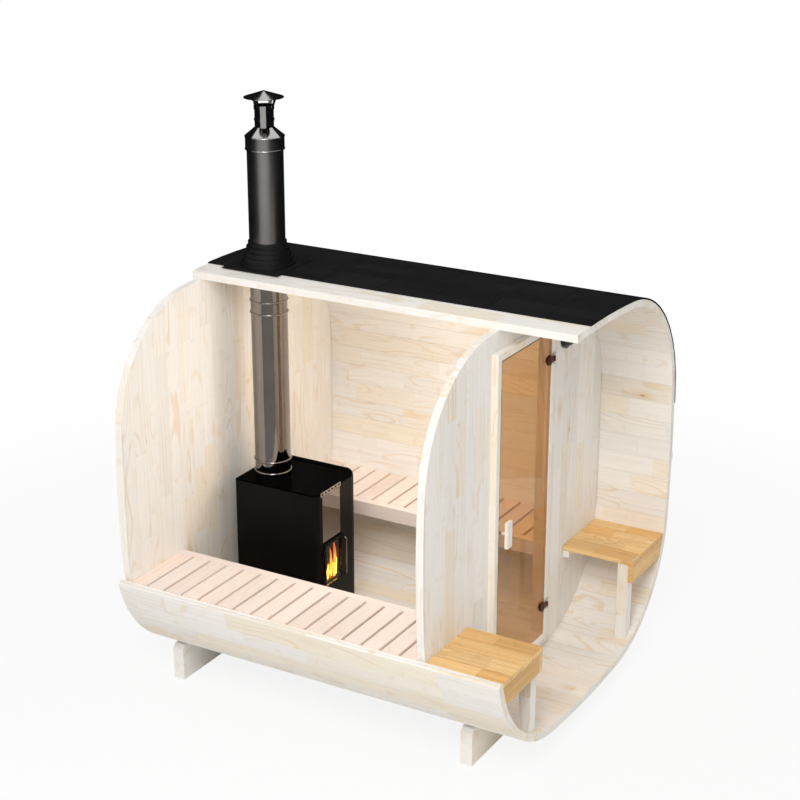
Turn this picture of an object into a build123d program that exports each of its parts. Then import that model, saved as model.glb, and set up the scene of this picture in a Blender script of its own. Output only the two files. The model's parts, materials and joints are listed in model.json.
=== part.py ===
from build123d import *
import os
from math import asin, atan2, cos, degrees, hypot, radians, sin, sqrt

# Barrel sauna of rounded-square staves, shown with its near side cut open.
# Millimetres. +Z is up, the ground is z = 0, the long axis lies along Y, the porch is at -Y,
# the open side is at -X. The origin is on the ground under the middle of the shell.

# Shell
shell_width = 2200
shell_height = 2171
shell_length = 2335
shell_lift = 117
side_radius = 5400
corner_radius = 715
stave_thickness = 42
stave_width = 115
stave_gap = 0.5
tongue_width = 16
tongue_depth = 14
roof_cut = 286
seat_gap = 0.3
overrun = 30

# Cradles
cradle_length = 1506
cradle_height = 212
cradle_thickness = 70
cradle_chamfer = 22
cradle_front_inset = 342
cradle_back_inset = 142

# Felt over the roof, and the drip lath on the far side
felt_thickness = 5
felt_setback = 153
lath_height = 55
lath_proud = 12
lath_below_middle = 40

# End walls
wall_thickness = 42
back_recess = 18
porch_depth = 434

# Door frame
door_centre = -20
door_clear_width = 594
threshold_height = 131
frame_width = 40
frame_depth = 80
frame_drop = 158
stop_width = 12

# Glass door, its disc hinges and its plate handles
glass_thickness = 8
glass_recess = 2
door_gap = 6
hinge_inset = 172
hinge_rise = 14
hinge_disc_radius = 28
hinge_disc_thickness = 12
hinge_disc_inset = 34
hinge_offset = 12
hinge_stand = 9
hinge_barrel_radius = 7
hinge_pin_radius = 3
hinge_pin_clearance = 0.3
hinge_barrel_height = 30
hinge_knuckle_height = 14
hinge_arm_thickness = 6
hinge_plate_thickness = 4
handle_height = 836
handle_inset = 34
handle_width = 56
handle_length = 150
handle_thickness = 18
handle_stand = 30
handle_peg_radius = 8
handle_round = 6
inner_handle_width = 36

# Benches in the room
bench_height = 550
bench_depth = 553
bench_beam_width = 50
bench_beam_height = 90
slat_thickness = 28
slat_width = 98
slat_gap = 16
bearer_width = 45
bearer_height = 60
bearer_reach = 150

# Porch benches
porch_bench_height = 546
porch_bench_depth = 520
porch_board_count = 4
porch_board_thickness = 28
porch_board_gap = 4
porch_fascia_thickness = 28
porch_fascia_height = 109
porch_leg_width = 65
porch_leg_inset = 8
porch_cleat_width = 40

# Stove
stove_centre = -19
stove_width = 410
stove_depth = 549
stove_height = 901
stove_back_gap = 142
stove_corner_radius = 36
stove_foot_height = 70
stove_foot_width = 45
stove_top_thickness = 10
stove_panel_inset = 19
stove_panel_width = 186
stove_panel_height = 290
stove_panel_thickness = 3
stove_panel_drop = 12
firebox_margin = 14
firebox_depth = 360
stove_door_height = 270
stove_door_handle_rim = 22
stove_door_thickness = 12
stove_door_gap = 6
stove_door_rim = 12
stove_glass_thickness = 5
stove_pivot_offset = 9
stove_pin_radius = 4
stove_pin_clearance = 0.3
stove_lug_radius = 7
stove_lug_height = 24
stove_lug_inset = 30
stove_handle_radius = 5
stove_handle_stand = 18
stove_handle_inset = 20
stove_handle_bend = 14
shield_gap = 16
shield_thickness = 8
shield_rise = 12
shield_front_inset = 24
shield_corner_radius = 40

# Flue and chimney
flue_inset = 110
flue_offset = 19
flue_radius = 104
flue_wall = 27
flue_bead = 6
flue_collar_height = 82
flue_collar_drop = 148
roof_hole_gap = 6
boot_plate_size = 370
boot_plate_thickness = 4
boot_height = 142
boot_base_radius = 150
boot_rib_count = 5
boot_rib_depth = 7
chimney_radius = 101
chimney_height = 731
chimney_band_height = 76
chimney_band = 7
reducer_height = 46
top_pipe_radius = 53
top_pipe_wall = 3
top_pipe_height = 118
top_bead_drop = 72
cap_radius = 110
cap_rise = 36
cap_gap = 44
cap_thickness = 3
cap_strut_count = 4
cap_strut_width = 22
cap_strut_thickness = 3
cap_strut_spread = 24
cap_collar_height = 22

# Porch lamp
lamp_radius = 65
lamp_base_depth = 14
lamp_dome_inset = 9
lamp_dome_rise = 44
lamp_offset = 525
lamp_drop = 308

# Outline of the shell: four bowed sides joined by tangent corner arcs, about the shell's own axis
half_width = shell_width / 2
half_height = shell_height / 2
half_length = shell_length / 2
axis_z = shell_lift + half_height
wall_back = side_radius - half_width
roof_back = side_radius - half_height
back_span = hypot(wall_back, roof_back)
corner_reach = sqrt((side_radius - corner_radius) ** 2 - (back_span / 2) ** 2)
corner_x = corner_reach * roof_back / back_span - wall_back / 2
corner_z = corner_reach * wall_back / back_span - roof_back / 2
wall_turn = degrees(atan2(corner_z, corner_x + wall_back))
roof_turn = degrees(atan2(corner_x, corner_z + roof_back))

# Each arc of the outer face: its centre in the cross-section, its radius and its two directions
shell_arcs = {
    "far_wall": ((-wall_back, axis_z), side_radius, -wall_turn, wall_turn),
    "far_upper": ((corner_x, axis_z + corner_z), corner_radius, wall_turn, 90 - roof_turn),
    "roof": ((0, axis_z - roof_back), side_radius, 90 - roof_turn, 90 + roof_turn),
    "near_upper": ((-corner_x, axis_z + corner_z), corner_radius, 90 + roof_turn, 180 - wall_turn),
    "near_wall": ((wall_back, axis_z), side_radius, 180 - wall_turn, 180 + wall_turn),
    "near_lower": ((-corner_x, axis_z - corner_z), corner_radius, 180 + wall_turn, 270 - roof_turn),
    "floor": ((0, axis_z + roof_back), side_radius, 270 - roof_turn, 270 + roof_turn),
    "far_lower": ((corner_x, axis_z - corner_z), corner_radius, 270 + roof_turn, 360 - wall_turn),
}

# Heights and places that several pieces share
room_floor_z = shell_lift + stave_thickness
roof_top_z = shell_lift + shell_height
bench_top_z = room_floor_z + bench_height
back_wall_y = half_length - back_recess
room_back_y = back_wall_y - wall_thickness
porch_wall_y = porch_depth - half_length
room_front_y = porch_wall_y + wall_thickness
room_length = room_back_y - room_front_y
room_inset = stave_thickness + seat_gap


def shell_outline(inset):
    """The shell's whole outline in the cross-section, drawn that far inside its outer face."""
    with BuildSketch(mode=Mode.PRIVATE) as outline:
        with BuildLine():
            for centre, radius, start, end in shell_arcs.values():
                CenterArc(centre, radius - inset, start, end - start)
        make_face()
    return outline.sketch


def ring_slice(centre, outer_radius, thickness, start, end):
    """A slice of a ring in the cross-section, between two directions in degrees."""
    with BuildSketch(mode=Mode.PRIVATE) as slice_face:
        with BuildLine():
            outer = CenterArc(centre, outer_radius, start, end - start)
            inner = CenterArc(centre, outer_radius - thickness, start, end - start)
            Line(outer @ 0, inner @ 0)
            Line(outer @ 1, inner @ 1)
        make_face()
    return slice_face.sketch


def stave_face(centre, radius, start, end, sawn):
    """A stave's end face: a tongue on its first edge, and a groove in its last edge unless it is sawn."""
    middle_radius = radius - stave_thickness / 2
    tongue_turn = degrees(tongue_depth / middle_radius)
    gap_turn = degrees(stave_gap / middle_radius)
    tongue_radius = middle_radius + tongue_width / 2
    groove_width = tongue_width + 2 * stave_gap
    groove_start = end - tongue_turn - gap_turn
    with BuildSketch(mode=Mode.PRIVATE) as stave:
        add(ring_slice(centre, radius, stave_thickness, start, end))
        add(ring_slice(centre, tongue_radius, tongue_width, start - tongue_turn, start))
        if not sawn:
            groove = ring_slice(centre, tongue_radius + stave_gap, groove_width, groove_start, end)
            add(groove, mode=Mode.SUBTRACT)
    return stave.sketch


def stave_spans(radius, start, end):
    """The first and last direction of each stave in a run, with staves of about the stave's width."""
    count = max(1, round(radians(end - start) * radius / stave_width))
    step = (end - start) / count
    half_gap_turn = degrees(stave_gap / 2 / radius)
    return [
        (start + index * step + half_gap_turn, start + (index + 1) * step - half_gap_turn)
        for index in range(count)
    ]


def section_at(y):
    """The cross-section plane at that place along the shell, from which a piece grows to the front."""
    return Plane.XZ.offset(-y)


def finish(piece, name):
    """Label a finished piece and write it out."""
    piece.part.label = name
    export_step(piece.part, f"parts/{name}.step")


os.makedirs("parts", exist_ok=True)
room_outline = shell_outline(room_inset)
cradle_cut = shell_outline(-seat_gap)

# Flue axis, which the roof's hole and everything above it follow
stove_back_y = room_back_y - stove_back_gap
stove_front_y = stove_back_y - stove_depth
stove_top_z = room_floor_z + stove_height
flue_y = stove_back_y - flue_inset
flue_x = stove_centre + flue_offset
flue_foot = (flue_x, flue_y)
roof_hole_radius = flue_radius + flue_bead + roof_hole_gap

# Staves, tongued and grooved into each other all round
# On the near side the last tongue is level with the bench. The roof is sawn off short of the near corner.
near_tongue_turn = asin((axis_z - corner_z - bench_top_z) / corner_radius)
near_cut_turn = degrees(near_tongue_turn + tongue_depth / (corner_radius - stave_thickness / 2))
roof_cut_turn = degrees(asin(roof_cut / side_radius))
stave_runs = {name: shell_arcs[name] for name in ("floor", "far_lower", "far_wall", "far_upper")}
stave_runs["near_lower"] = (*shell_arcs["near_lower"][:2], 180 + near_cut_turn, shell_arcs["near_lower"][3])
stave_runs["roof"] = (*shell_arcs["roof"][:3], 90 + roof_cut_turn)
for run, (centre, radius, start, end) in stave_runs.items():
    spans = stave_spans(radius, start, end)
    sawn_span = spans[-1] if run == "roof" else None
    with BuildPart() as staves:
        with BuildSketch(section_at(half_length)):
            for span in spans:
                add(stave_face(centre, radius, *span, sawn=span == sawn_span))
        extrude(amount=shell_length)
        if run == "roof":
            with BuildSketch(Plane.XY.offset(stove_top_z)):
                with Locations(flue_foot):
                    Circle(roof_hole_radius)
            extrude(amount=roof_top_z, mode=Mode.SUBTRACT)
    finish(staves, f"{run}_staves")

# Cradles, hollowed along the top to take the shell
cradles = {
    "cradle_front": -half_length + cradle_front_inset,
    "cradle_back": half_length - cradle_back_inset,
}
for name, middle_y in cradles.items():
    with BuildPart() as cradle:
        with BuildSketch(section_at(middle_y + cradle_thickness / 2)):
            with BuildLine():
                Polyline(
                    (-cradle_length / 2, 0),
                    (cradle_length / 2, 0),
                    (cradle_length / 2, cradle_height - cradle_chamfer),
                    (cradle_length / 2 - cradle_chamfer, cradle_height),
                    (cradle_chamfer - cradle_length / 2, cradle_height),
                    (-cradle_length / 2, cradle_height - cradle_chamfer),
                    close=True,
                )
            make_face()
            add(cradle_cut, mode=Mode.SUBTRACT)
        extrude(amount=cradle_thickness)
    finish(cradle, name)

# Roof felt in courses, one to a stave, from the far wall's top stave up to a line short of the cut edge
roof_centre = shell_arcs["roof"][0]
felt_end = 90 + degrees(asin((roof_cut - felt_setback) / side_radius))
felt_outer = seat_gap + felt_thickness
felt_courses = [("far_wall", *stave_spans(*stave_runs["far_wall"][1:])[-1])]
felt_courses += [("far_upper", *span) for span in stave_spans(*stave_runs["far_upper"][1:])]
felt_courses += [
    ("roof", first, min(last, felt_end))
    for first, last in stave_spans(*stave_runs["roof"][1:]) if first < felt_end
]
with BuildPart() as roof_felt:
    with BuildSketch(section_at(half_length)):
        for arc, first, last in felt_courses:
            add(ring_slice(shell_arcs[arc][0], shell_arcs[arc][1] + felt_outer, felt_thickness, first, last))
    extrude(amount=shell_length)
    with BuildSketch(Plane.XY.offset(stove_top_z)):
        with Locations(flue_foot):
            Circle(roof_hole_radius)
    extrude(amount=roof_top_z, mode=Mode.SUBTRACT)
finish(roof_felt, "roof_felt")

# Drip lath on the far wall, a wedge that throws water clear
lath_z = axis_z - lath_below_middle
lath_turn = asin((lath_z - axis_z) / side_radius)
lath_x = side_radius * cos(lath_turn) - wall_back + seat_gap
with BuildPart() as drip_lath:
    with BuildSketch(section_at(half_length)):
        with BuildLine():
            Polyline(
                (lath_x, lath_z - lath_height / 2),
                (lath_x + lath_proud, lath_z - lath_height / 2 + lath_proud),
                (lath_x + lath_proud / 2, lath_z + lath_height / 2),
                (lath_x, lath_z + lath_height / 2),
                close=True,
            )
        make_face()
    extrude(amount=shell_length)
finish(drip_lath, "drip_lath")

# Back wall
with BuildPart() as back_wall:
    with BuildSketch(section_at(back_wall_y)):
        add(room_outline)
    extrude(amount=wall_thickness)
finish(back_wall, "back_wall")

# Front wall, in four panels round the door frame
clear_left = door_centre - door_clear_width / 2
clear_right = door_centre + door_clear_width / 2
clear_bottom = room_floor_z + threshold_height
clear_top = roof_top_z - frame_drop - frame_width
door_clear_height = clear_top - clear_bottom
frame_left = clear_left - frame_width
frame_right = clear_right + frame_width
frame_bottom = clear_bottom - frame_width
frame_top = clear_top + frame_width
wall_panels = {
    "front_wall_left": (-shell_width, 0, frame_left - seat_gap, roof_top_z),
    "front_wall_right": (frame_right + seat_gap, 0, shell_width, roof_top_z),
    "front_wall_over_door": (frame_left, frame_top + seat_gap, frame_right, roof_top_z),
    "front_wall_under_door": (frame_left, 0, frame_right, frame_bottom - seat_gap),
}
for name, (left, bottom, right, top) in wall_panels.items():
    with BuildPart() as panel:
        with BuildSketch(section_at(room_front_y)):
            add(room_outline)
            with Locations(((left + right) / 2, (bottom + top) / 2)):
                Rectangle(right - left, top - bottom, mode=Mode.INTERSECT)
        extrude(amount=wall_thickness)
    finish(panel, name)

# Door frame: jambs with a stop behind the glass, a head with its stop, and a plain sill
frame_front_y = room_front_y - frame_depth
glass_front_y = frame_front_y + glass_recess
glass_back_y = glass_front_y + glass_thickness
stop_y = glass_back_y + door_gap
stop_depth = room_front_y - stop_y
for name, edge_x, outer in (("left", clear_left, Align.MAX), ("right", clear_right, Align.MIN)):
    stop_side = Align.MIN if outer == Align.MAX else Align.MAX
    with BuildPart() as jamb:
        with Locations((edge_x, room_front_y, frame_bottom)):
            Box(frame_width, frame_depth, frame_top - frame_bottom, align=(outer, Align.MAX, Align.MIN))
        with Locations((edge_x, room_front_y, clear_bottom)):
            Box(stop_width, stop_depth, door_clear_height, align=(stop_side, Align.MAX, Align.MIN))
    finish(jamb, f"door_jamb_{name}")

rail_length = door_clear_width - 2 * seat_gap
with BuildPart() as door_head:
    with Locations((door_centre, room_front_y, clear_top)):
        Box(rail_length, frame_depth, frame_width, align=(Align.CENTER, Align.MAX, Align.MIN))
        Box(
            rail_length - 2 * stop_width, stop_depth, stop_width - seat_gap,
            align=(Align.CENTER, Align.MAX, Align.MAX),
        )
finish(door_head, "door_head")

with BuildPart() as door_sill:
    with Locations((door_centre, room_front_y, clear_bottom)):
        Box(rail_length, frame_depth, frame_width, align=(Align.CENTER, Align.MAX, Align.MAX))
finish(door_sill, "door_sill")

# Glass leaf
with BuildPart() as door_glass:
    with Locations((door_centre, glass_front_y, clear_bottom + door_gap)):
        Box(
            door_clear_width - 2 * door_gap, glass_thickness, door_clear_height - 2 * door_gap,
            align=(Align.CENTER, Align.MIN, Align.MIN),
        )
finish(door_glass, "door_glass")

# Disc hinges: a disc on each face of the glass, an arm and a barrel that turns on the frame's pin
pivot_x = clear_right + hinge_offset
pivot_y = frame_front_y - hinge_stand
hinge_levels = (clear_bottom + hinge_inset + hinge_rise, clear_top - hinge_inset + hinge_rise)
disc_x = clear_right - door_gap - hinge_disc_inset
disc_front_y = glass_front_y - seat_gap
barrel_half = hinge_barrel_height / 2
with BuildPart() as hinge_leaves:
    for level in hinge_levels:
        with BuildSketch(section_at(disc_front_y)):
            with Locations((disc_x, level)):
                Circle(hinge_disc_radius)
        extrude(amount=hinge_disc_thickness)
        with BuildSketch(Plane.XY.offset(level - barrel_half)):
            with Locations((pivot_x, pivot_y)):
                Circle(hinge_barrel_radius)
            with Locations((disc_x, pivot_y)):
                Rectangle(pivot_x - disc_x, hinge_arm_thickness, align=(Align.MIN, Align.CENTER))
            with Locations((pivot_x, pivot_y)):
                Circle(hinge_pin_radius + hinge_pin_clearance, mode=Mode.SUBTRACT)
        extrude(amount=hinge_barrel_height)
finish(hinge_leaves, "door_hinge_discs")

with BuildPart() as hinge_backs:
    with BuildSketch(section_at(glass_back_y + seat_gap + hinge_disc_thickness / 2)):
        for level in hinge_levels:
            with Locations((disc_x, level)):
                Circle(hinge_disc_radius - stop_width)
    extrude(amount=hinge_disc_thickness / 2)
finish(hinge_backs, "door_hinge_backs")

knuckle_start = barrel_half + hinge_pin_clearance
knuckle_end = knuckle_start + hinge_knuckle_height
plate_left = pivot_x + hinge_barrel_radius + hinge_pin_clearance
plate_y = frame_front_y - seat_gap
with BuildPart() as frame_hinges:
    for level in hinge_levels:
        with Locations((plate_left, plate_y, level)):
            Box(
                frame_right - plate_left, hinge_plate_thickness, 2 * knuckle_end,
                align=(Align.MIN, Align.MAX, Align.CENTER),
            )
        for knuckle_z in (level - knuckle_end, level + knuckle_start):
            with BuildSketch(Plane.XY.offset(knuckle_z)):
                with Locations((pivot_x, pivot_y)):
                    Circle(hinge_barrel_radius)
                with Locations((pivot_x, plate_y)):
                    Rectangle(
                        frame_right - pivot_x, hinge_plate_thickness, align=(Align.MIN, Align.MAX)
                    )
            extrude(amount=hinge_knuckle_height)
        with BuildSketch(Plane.XY.offset(level - knuckle_end)):
            with Locations((pivot_x, pivot_y)):
                Circle(hinge_pin_radius)
        extrude(amount=2 * knuckle_end)
finish(frame_hinges, "door_frame_hinges")

# Plate handles on both faces of the glass, each on one peg
handle_x = clear_left + door_gap + handle_inset
handle_z = clear_bottom + handle_height
for name, plate_width, face_y, toward_room in (
    ("door_handle_outer", handle_width, glass_front_y - seat_gap, -1),
    ("door_handle_inner", inner_handle_width, glass_back_y + seat_gap, 1),
):
    with BuildPart() as handle:
        with BuildSketch(Plane((handle_x, face_y, handle_z), x_dir=(1, 0, 0), z_dir=(0, toward_room, 0))):
            Circle(handle_peg_radius)
        extrude(amount=handle_stand)
        with Locations((handle_x, face_y + toward_room * (handle_stand + handle_thickness / 2), handle_z)):
            Box(plate_width, handle_thickness, handle_length)
        fillet(handle.edges().filter_by(Axis.Y).filter_by(GeomType.LINE), handle_round)
    finish(handle, name)

# Benches: slats across, a front beam and bearers from wall to wall
bench_edge = half_width - bench_depth
beam_back = bench_edge + bench_beam_width
slat_count = max(1, round((room_length + slat_gap) / (slat_width + slat_gap)))
slat_pitch = (room_length + slat_gap) / slat_count
wall_to_wall = room_length - 2 * seat_gap
room_middle_y = (room_front_y + room_back_y) / 2
slat_bottom_z = bench_top_z - slat_thickness
for name, side in (("near_bench", -1), ("far_bench", 1)):
    inward = Align.MIN if side > 0 else Align.MAX
    with BuildPart() as slats:
        slat_start_y = room_front_y + (slat_pitch - slat_gap) / 2
        for index in range(slat_count):
            with Locations((side * (beam_back + seat_gap), slat_start_y + index * slat_pitch, bench_top_z)):
                Box(
                    half_width - beam_back, slat_pitch - slat_gap - 2 * seat_gap, slat_thickness,
                    align=(inward, Align.CENTER, Align.MAX),
                )
        with BuildSketch(section_at(room_back_y)):
            add(room_outline)
        extrude(amount=room_length, mode=Mode.INTERSECT)
    finish(slats, f"{name}_slats")

    with BuildPart() as beam:
        with Locations((side * bench_edge, room_middle_y, bench_top_z)):
            Box(
                bench_beam_width, wall_to_wall, bench_beam_height,
                align=(inward, Align.CENTER, Align.MAX),
            )
    finish(beam, f"{name}_beam")

    with BuildPart() as bearers:
        for reach, depth in (
            (beam_back + seat_gap, bearer_width),
            (half_width - bearer_reach, bearer_reach),
        ):
            with Locations((side * reach, room_middle_y, slat_bottom_z - seat_gap)):
                Box(depth, wall_to_wall, bearer_height, align=(inward, Align.CENTER, Align.MAX))
        with BuildSketch(section_at(room_back_y)):
            add(room_outline)
        extrude(amount=room_length, mode=Mode.INTERSECT)
    finish(bearers, f"{name}_bearers")

# Porch benches: boards along the porch, a fascia under their ends, a leg and a wall cleat on each side
porch_edge = half_width - porch_bench_depth
porch_top_z = room_floor_z + porch_bench_height
porch_under_z = porch_top_z - porch_board_thickness
porch_pitch = (porch_bench_depth - stave_thickness) / porch_board_count
fascia_back_y = porch_fascia_thickness - half_length
board_length = porch_depth - seat_gap
sides = ((-1, Align.MAX), (1, Align.MIN))
with BuildPart() as porch_boards:
    for side, inward in sides:
        for index in range(porch_board_count):
            with Locations((side * (porch_edge + index * porch_pitch), -half_length, porch_top_z)):
                Box(
                    porch_pitch - porch_board_gap, board_length, porch_board_thickness,
                    align=(inward, Align.MIN, Align.MAX),
                )
    with BuildSketch(section_at(porch_wall_y)):
        add(room_outline)
    extrude(amount=porch_depth, mode=Mode.INTERSECT)
finish(porch_boards, "porch_bench_boards")

with BuildPart() as porch_fascias:
    for side, inward in sides:
        with Locations((side * porch_edge, -half_length, porch_under_z - seat_gap)):
            Box(
                porch_bench_depth, porch_fascia_thickness, porch_fascia_height,
                align=(inward, Align.MIN, Align.MAX),
            )
    with BuildSketch(section_at(porch_wall_y)):
        add(room_outline)
    extrude(amount=porch_depth, mode=Mode.INTERSECT)
finish(porch_fascias, "porch_bench_fascias")

with BuildPart() as porch_legs:
    for side, inward in sides:
        leg_x = side * (porch_edge + porch_leg_inset)
        with Locations((leg_x, fascia_back_y + seat_gap, porch_under_z - seat_gap)):
            Box(
                porch_leg_width, porch_leg_width, porch_under_z,
                align=(inward, Align.MIN, Align.MAX),
            )
    with BuildSketch(section_at(porch_wall_y)):
        add(room_outline)
    extrude(amount=porch_depth, mode=Mode.INTERSECT)
finish(porch_legs, "porch_bench_legs")

with BuildPart() as porch_cleats:
    for side, inward in sides:
        with Locations((side * porch_edge, porch_wall_y - seat_gap, porch_under_z - seat_gap)):
            Box(
                porch_bench_depth, porch_cleat_width, porch_cleat_width,
                align=(inward, Align.MAX, Align.MAX),
            )
    with BuildSketch(section_at(porch_wall_y)):
        add(room_outline)
    extrude(amount=porch_depth, mode=Mode.INTERSECT)
finish(porch_cleats, "porch_bench_cleats")

# Stove body with a firebox behind its door
stove_left = stove_centre - stove_width / 2
body_top_z = stove_top_z - stove_top_thickness - seat_gap
body_bottom_z = room_floor_z + stove_foot_height
panel_left = stove_left + stove_corner_radius + stove_panel_inset
panel_right = panel_left + stove_panel_width
panel_top_z = body_top_z - stove_panel_drop
door_top_z = panel_top_z - stove_panel_height - stove_door_gap
door_bottom_z = door_top_z - stove_door_height
with BuildPart() as stove_body:
    with BuildSketch(Plane.XY.offset(body_bottom_z)):
        with Locations((stove_centre, stove_front_y)):
            Rectangle(stove_width, stove_depth, align=(Align.CENTER, Align.MIN))
    extrude(amount=body_top_z - body_bottom_z)
    fillet(stove_body.edges().filter_by(Axis.Z).group_by(Axis.Y)[0], stove_corner_radius)
    with BuildSketch(section_at(stove_front_y + firebox_depth)):
        with Locations(((panel_left + panel_right) / 2, (door_top_z + door_bottom_z) / 2)):
            Rectangle(stove_panel_width - 2 * firebox_margin, stove_door_height - 2 * firebox_margin)
    extrude(amount=firebox_depth + overrun, mode=Mode.SUBTRACT)
finish(stove_body, "stove_body")

with BuildPart() as stove_top:
    with BuildSketch(Plane.XY.offset(body_top_z + seat_gap)):
        with Locations((stove_centre, stove_front_y)):
            Rectangle(stove_width, stove_depth, align=(Align.CENTER, Align.MIN))
    extrude(amount=stove_top_thickness)
    fillet(stove_top.edges().filter_by(Axis.Z).group_by(Axis.Y)[0], stove_corner_radius)
finish(stove_top, "stove_top")

with BuildPart() as stove_panel:
    with Locations((panel_left, stove_front_y - seat_gap, panel_top_z)):
        Box(
            stove_panel_width, stove_panel_thickness, stove_panel_height,
            align=(Align.MIN, Align.MAX, Align.MAX),
        )
finish(stove_panel, "stove_front_panel")

with BuildPart() as stove_feet:
    foot_inset = stove_corner_radius
    with Locations((stove_centre, (stove_front_y + stove_back_y) / 2, 0)):
        with GridLocations(stove_width - 2 * foot_inset, stove_depth - 2 * foot_inset, 2, 2):
            Box(
                stove_foot_width, stove_foot_width, body_bottom_z - seat_gap,
                align=(Align.CENTER, Align.CENTER, Align.MIN),
            )
    with BuildSketch(section_at(room_back_y)):
        add(room_outline)
    extrude(amount=room_length, mode=Mode.INTERSECT)
finish(stove_feet, "stove_feet")

# Heat shield between the stove and the far bench
shield_x = stove_centre + stove_width / 2 + shield_gap
shield_top_z = stove_top_z + shield_rise
shield_front_y = stove_front_y + shield_front_inset
with BuildPart() as heat_shield:
    with BuildSketch(Plane.YZ.offset(shield_x)):
        with Locations((shield_front_y, 0)):
            Rectangle(stove_back_y - shield_front_y, shield_top_z, align=(Align.MIN, Align.MIN))
    extrude(amount=shield_thickness)
    fillet(
        heat_shield.edges().filter_by(Axis.X).group_by(Axis.Z)[-1].sort_by(Axis.Y)[0],
        shield_corner_radius,
    )
    with BuildSketch(section_at(room_back_y)):
        add(room_outline)
    extrude(amount=room_length, mode=Mode.INTERSECT)
finish(heat_shield, "stove_heat_shield")

# Stove door: a framed pane that swings on two pins at its left edge
leaf_back_y = stove_front_y - stove_door_gap
leaf_width = stove_panel_width + stove_door_handle_rim
leaf_middle_z = (door_top_z + door_bottom_z) / 2
pane_width = stove_panel_width - 2 * stove_door_rim
pane_height = stove_door_height - 2 * stove_door_rim
pane_middle_x = (panel_left + panel_right) / 2
stove_pivot_x = panel_left - stove_pivot_offset
stove_pivot_y = leaf_back_y - stove_door_thickness / 2
lug_levels = (door_bottom_z + stove_lug_inset, door_top_z - stove_lug_inset - stove_lug_height)
with BuildPart() as stove_door:
    with BuildSketch(section_at(leaf_back_y)):
        with Locations((panel_left, leaf_middle_z)):
            Rectangle(leaf_width, stove_door_height, align=(Align.MIN, Align.CENTER))
        with Locations((pane_middle_x, leaf_middle_z)):
            Rectangle(pane_width, pane_height, mode=Mode.SUBTRACT)
    extrude(amount=stove_door_thickness)
    for level in lug_levels:
        with BuildSketch(Plane.XY.offset(level)):
            with Locations((stove_pivot_x, stove_pivot_y)):
                Circle(stove_lug_radius)
                Rectangle(stove_pivot_offset, stove_lug_radius, align=(Align.MIN, Align.CENTER))
                Circle(stove_pin_radius + stove_pin_clearance, mode=Mode.SUBTRACT)
        extrude(amount=stove_lug_height)
finish(stove_door, "stove_door_frame")

with BuildPart() as stove_pane:
    with Locations((pane_middle_x, leaf_back_y - stove_door_thickness / 2, leaf_middle_z)):
        Box(pane_width - 2 * seat_gap, stove_glass_thickness, pane_height - 2 * seat_gap)
finish(stove_pane, "stove_door_glass")

handle_bar_x = panel_left + leaf_width - stove_door_handle_rim / 2
leaf_front_y = leaf_back_y - stove_door_thickness - seat_gap
with BuildPart() as stove_handle:
    with BuildLine():
        bar = FilletPolyline(
            (handle_bar_x, leaf_front_y, door_bottom_z + stove_handle_inset),
            (handle_bar_x, leaf_front_y - stove_handle_stand, door_bottom_z + stove_handle_inset),
            (handle_bar_x, leaf_front_y - stove_handle_stand, door_top_z - stove_handle_inset),
            (handle_bar_x, leaf_front_y, door_top_z - stove_handle_inset),
            radius=stove_handle_bend,
        )
    with BuildSketch(Plane(bar @ 0, z_dir=bar % 0)):
        Circle(stove_handle_radius)
    sweep()
finish(stove_handle, "stove_door_handle")

with BuildPart() as stove_hinges:
    for level in lug_levels:
        rest_z = level - stove_pin_clearance
        with BuildSketch(Plane.XY.offset(rest_z)):
            with Locations((stove_pivot_x, stove_pivot_y)):
                Circle(stove_lug_radius)
                Rectangle(
                    2 * stove_lug_radius, stove_front_y - seat_gap - stove_pivot_y,
                    align=(Align.CENTER, Align.MIN),
                )
        extrude(amount=-stove_lug_radius)
        with BuildSketch(Plane.XY.offset(rest_z)):
            with Locations((stove_pivot_x, stove_pivot_y)):
                Circle(stove_pin_radius)
        extrude(amount=stove_lug_height + stove_lug_radius)
finish(stove_hinges, "stove_door_hinges")

# Flue and chimney, turned about one upright axis
flue_plane = Plane((*flue_foot, 0), x_dir=(1, 0, 0), z_dir=(0, -1, 0))
flue_axis = Axis((*flue_foot, 0), (0, 0, 1))
bore_radius = flue_radius - flue_wall
flue_foot_z = stove_top_z + seat_gap
chimney_top_z = roof_top_z + chimney_height
collar_top_z = roof_top_z - stave_thickness - flue_collar_drop
with BuildPart() as flue_pipe:
    with BuildSketch(flue_plane):
        with Locations((bore_radius, flue_foot_z)):
            Rectangle(flue_wall, roof_top_z - flue_foot_z, align=(Align.MIN, Align.MIN))
        for bead_z in (
            flue_foot_z + flue_bead,
            flue_foot_z + flue_collar_height - flue_bead,
            collar_top_z - flue_collar_height + flue_bead,
            collar_top_z - flue_bead,
        ):
            with Locations((flue_radius, bead_z)):
                Circle(flue_bead)
    revolve(axis=flue_axis)
finish(flue_pipe, "flue_pipe")

with BuildPart() as chimney_pipe:
    with BuildSketch(flue_plane):
        with Locations((bore_radius, roof_top_z + seat_gap)):
            Rectangle(
                chimney_radius - bore_radius, chimney_top_z - roof_top_z - seat_gap,
                align=(Align.MIN, Align.MIN),
            )
        with Locations((bore_radius, chimney_top_z)):
            Rectangle(
                chimney_radius + chimney_band - bore_radius, chimney_band_height,
                align=(Align.MIN, Align.MAX),
            )
    revolve(axis=flue_axis)
finish(chimney_pipe, "chimney_pipe")

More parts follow.
